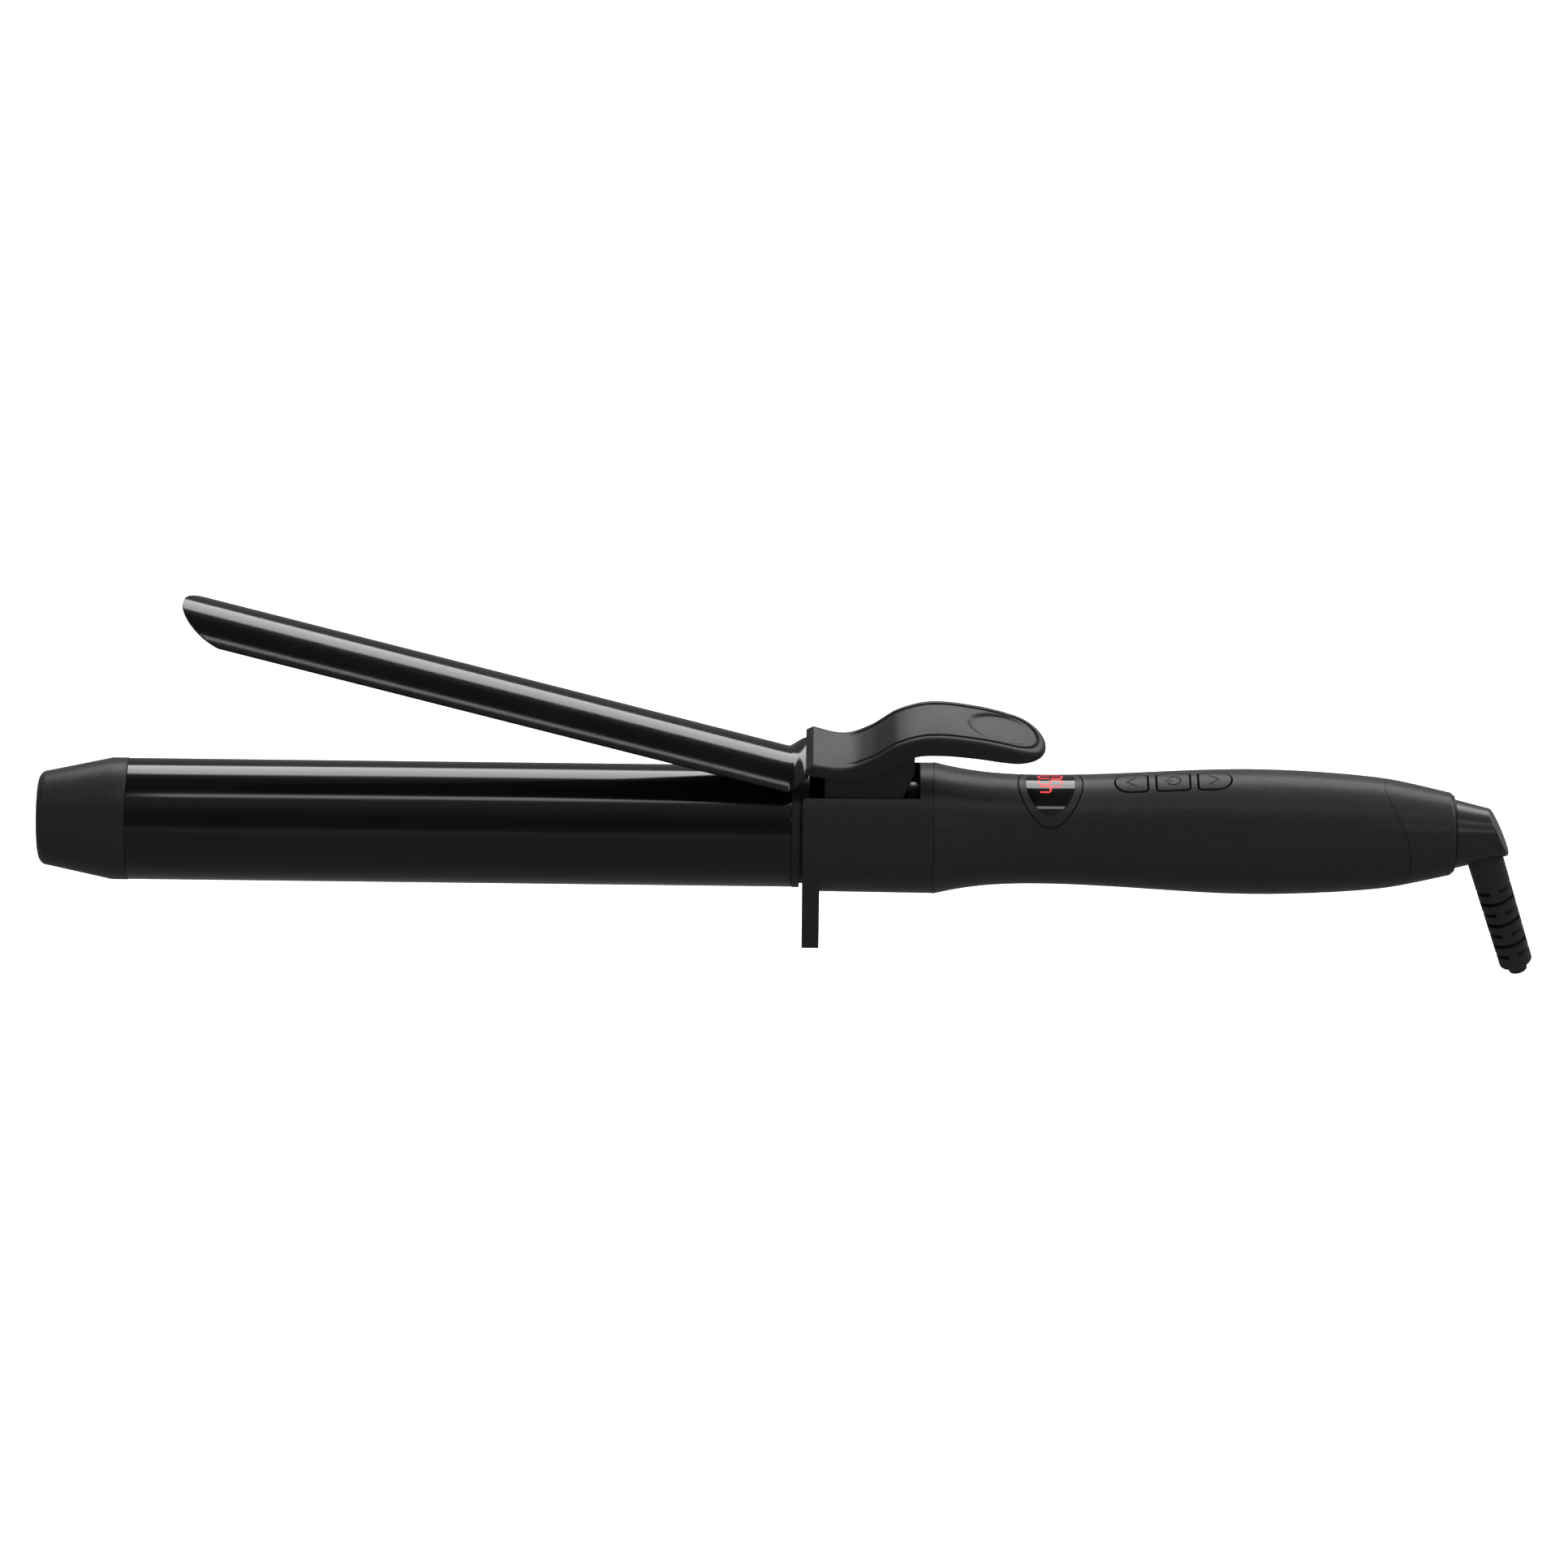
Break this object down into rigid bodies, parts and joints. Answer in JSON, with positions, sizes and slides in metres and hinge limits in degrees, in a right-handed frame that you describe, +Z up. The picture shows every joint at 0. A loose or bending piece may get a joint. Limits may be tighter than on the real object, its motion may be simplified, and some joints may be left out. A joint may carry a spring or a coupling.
{
  "type": "curling iron",
  "caption": "Curling iron: round glossy barrel with a cool tip, sprung clamp with thumb lever, collar with stand plate, waisted handle with display and keys, swivel cord boot.",
  "frame": {"origin": "the middle of the stand plate's foot face", "axes": "+X runs along the barrel's axis from the cool tip to the cord outlet, +Z is up, from the foot to the clamp, and +Y is to the side"},
  "size_m": [0.396, 0.0348, 0.1088],
  "materials": {
    "coated_metal": "gloss black ceramic coating",
    "soft_touch": "matte soft-touch paint with a fine grain",
    "satin_plastic": "satin moulded black",
    "rubber": "matte black rubber",
    "smoked_window": "glossy smoked window",
    "grey_plastic": "satin grey buffer",
    "mica": "pressed mica",
    "aluminium": "extruded, mill finish",
    "ceramic": "sintered ceramic",
    "brass": "stamped strip",
    "amber_film": "amber insulating film",
    "glass_bead": "glazed bead",
    "steel": "zinc plated",
    "inner_plastic": "moulded black, unpainted",
    "board_green": "green solder mask",
    "module_white": "white potted module",
    "switch_grey": "moulded grey",
    "capacitor_yellow": "yellow moulded case",
    "lead_white": "white silicone sleeve",
    "lead_blue": "blue insulated wire"
  },
  "bodies": {
    "root": {"barrel": "coated_metal", "cool_tip": "soft_touch", "collar_housing": "soft_touch", "handle_sleeve": "soft_touch", "end_cap": "soft_touch", "display_bezel": "soft_touch", "barrel_holder": "satin_plastic", "display_lens": "smoked_window", "lever_stop": "grey_plastic", "tip_insulator": "mica", "heat_spreader_top": "aluminium", "heat_spreader_bottom": "aluminium", "heater_stones": "ceramic", "electrode_upper": "brass", "electrode_lower": "brass", "insulating_film": "amber_film", "thermistor": "glass_bead", "thermal_fuse": "steel", "hinge_bracket": "steel", "bracket_screws": "steel", "hinge_pin": "steel", "clamp_spring": "steel", "board_screws": "steel", "chassis": "inner_plastic", "swivel_bushing": "inner_plastic", "contact_block": "inner_plastic", "circuit_board": "board_green", "display_module": "module_white", "tact_switches": "switch_grey", "controller_chip": "inner_plastic", "power_capacitor": "capacitor_yellow", "triac": "inner_plastic", "heater_leads": "lead_white", "sensor_leads": "lead_white", "supply_leads": "lead_blue", "contact_springs": "brass"},
    "clamp": {"clamp_blade": "coated_metal", "thumb_lever": "satin_plastic", "clamp_screws": "steel"},
    "swivel": {"swivel_elbow": "satin_plastic", "cord_boot": "rubber", "retaining_clip": "steel", "slip_rings": "brass"},
    "temp_up": {"temp_up_button": "soft_touch"},
    "power": {"power_button": "soft_touch"},
    "temp_down": {"temp_down_button": "soft_touch"}
  },
  "joints": [
    {"name": "clamp_hinge", "type": "hinge", "parent": "root", "child": "clamp", "pos_m": [0.01065, 0, 0.0389], "axis": [0, 1, 0], "range_deg": [-16.2, 8], "stiffness_Nm_per_rad": 0.35, "springref_deg": -45.84, "deforming": ["clamp_spring"]},
    {"name": "cord_swivel", "type": "hinge", "parent": "root", "child": "swivel", "pos_m": [0.16935, 0, 0.0284], "axis": [1, 0, 0], "continuous": true},
    {"name": "temp_up_press", "type": "slide", "parent": "root", "child": "temp_up", "axis": [0, 0, -1], "range_m": [0, 0.0005], "stiffness_N_per_m": 1000, "springref_m": -0.0003},
    {"name": "power_press", "type": "slide", "parent": "root", "child": "power", "axis": [0, 0, -1], "range_m": [0, 0.0005], "stiffness_N_per_m": 1000, "springref_m": -0.0003},
    {"name": "temp_down_press", "type": "slide", "parent": "root", "child": "temp_down", "axis": [0, 0, -1], "range_m": [0, 0.0005], "stiffness_N_per_m": 1000, "springref_m": -0.0003}
  ]
}
